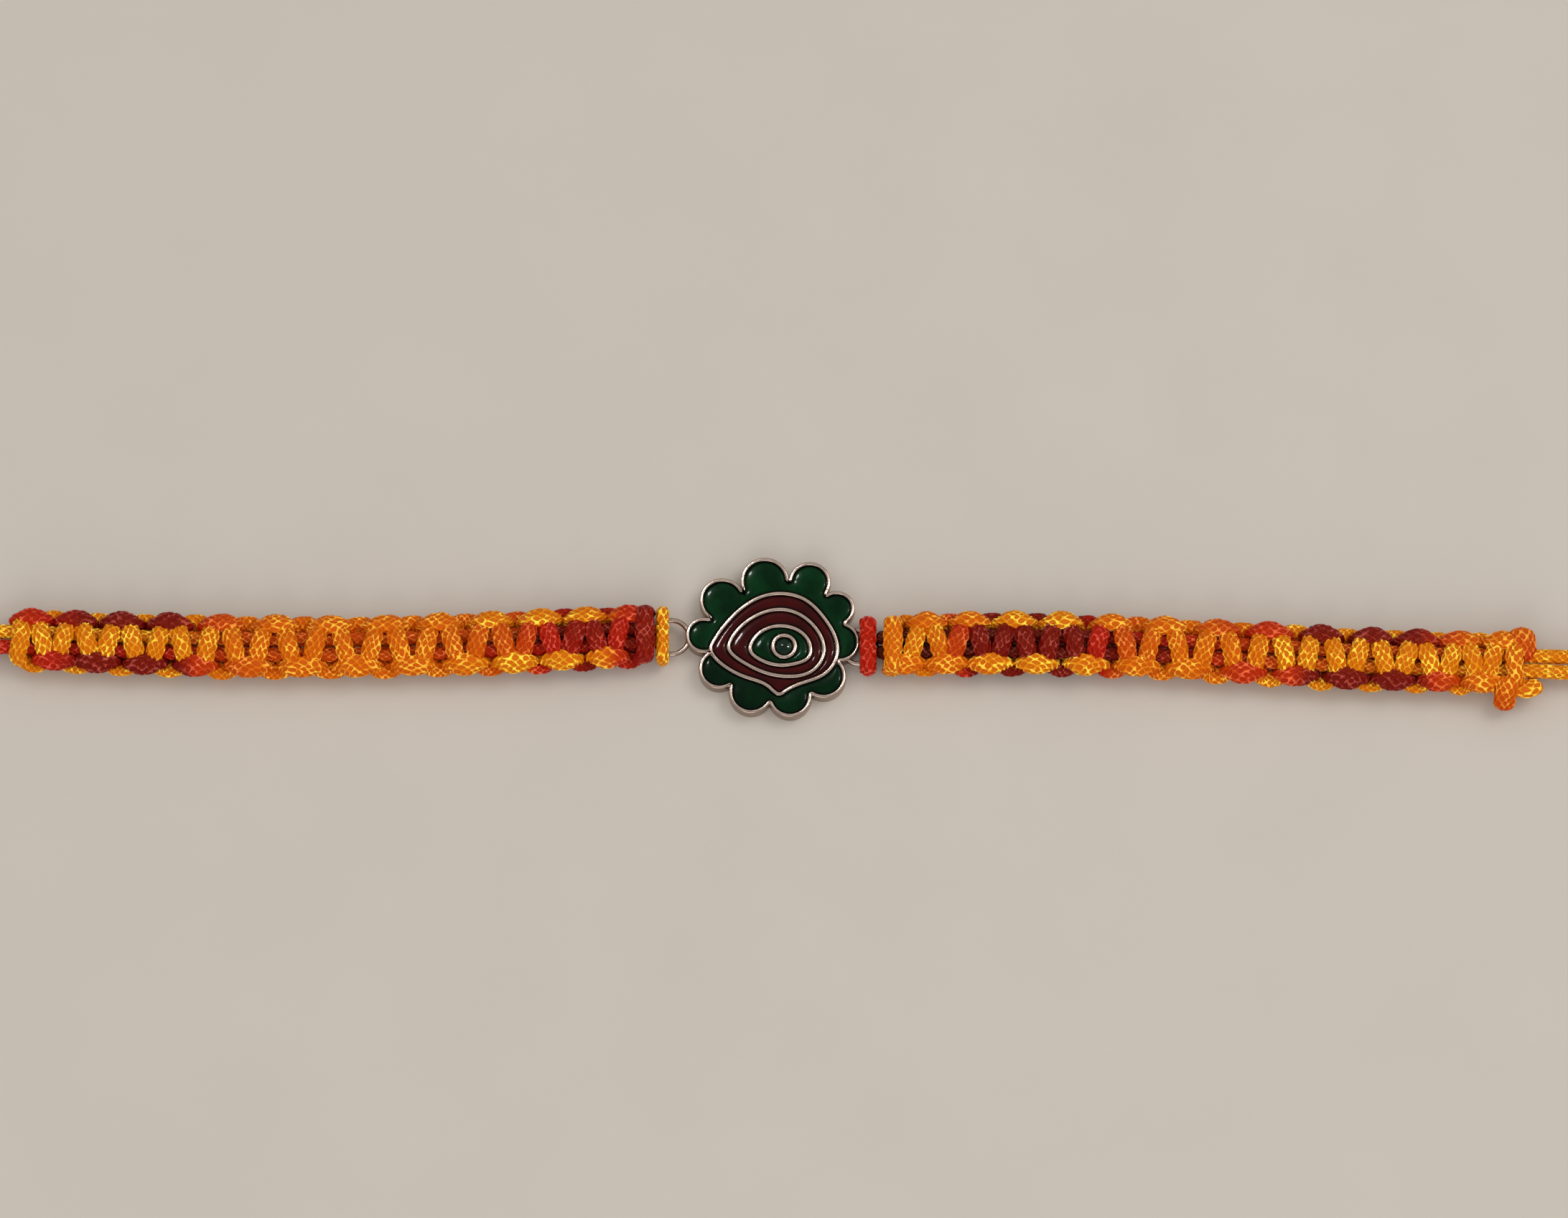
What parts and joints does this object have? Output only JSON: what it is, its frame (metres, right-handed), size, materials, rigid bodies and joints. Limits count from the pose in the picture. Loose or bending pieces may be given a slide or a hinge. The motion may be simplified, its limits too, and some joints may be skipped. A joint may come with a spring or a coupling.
{
  "type": "rakhi thread bracelet",
  "caption": "Enamelled silver flower with an eye motif, tied by hitches between two knotted cord bands that end in knotted tie cords.",
  "frame": {"origin": "middle of the flower's flat back, on the surface that the bracelet lies on", "axes": "+X along the bracelet towards the band with the cut cord ends, +Y up the flower's face, +Z out of the enamel"},
  "size_m": [0.2824, 0.0177, 0.0042],
  "materials": {
    "silver": "warm polished silver with small hand-filed unevenness",
    "green_enamel": "glossy deep green glass enamel",
    "maroon_enamel": "glossy maroon glass enamel",
    "dark_green_enamel": "glossy dark green enamel drop",
    "dyed_cord": "knitted cord space-dyed yellow, orange, red and maroon",
    "yellow_cord": "golden yellow knitted cord",
    "red_cord": "brick red knitted cord"
  },
  "bodies": {
    "root": {"silver_frame": "silver", "petals_green_upper": "green_enamel", "petals_green_lower": "green_enamel", "outer_band_maroon": "maroon_enamel", "inner_band_maroon": "maroon_enamel", "eye_green": "green_enamel", "pupil_green": "dark_green_enamel", "left_hitch": "yellow_cord", "right_hitch": "red_cord", "left_band": "dyed_cord", "right_band": "dyed_cord", "lower_cut_end": "dyed_cord", "left_tie_upper": "yellow_cord", "left_tie_lower": "red_cord", "right_tie_upper": "yellow_cord", "right_tie_lower": "yellow_cord", "left_tie_knot": "dyed_cord", "right_tie_knot": "dyed_cord"}
  },
  "joints": []
}
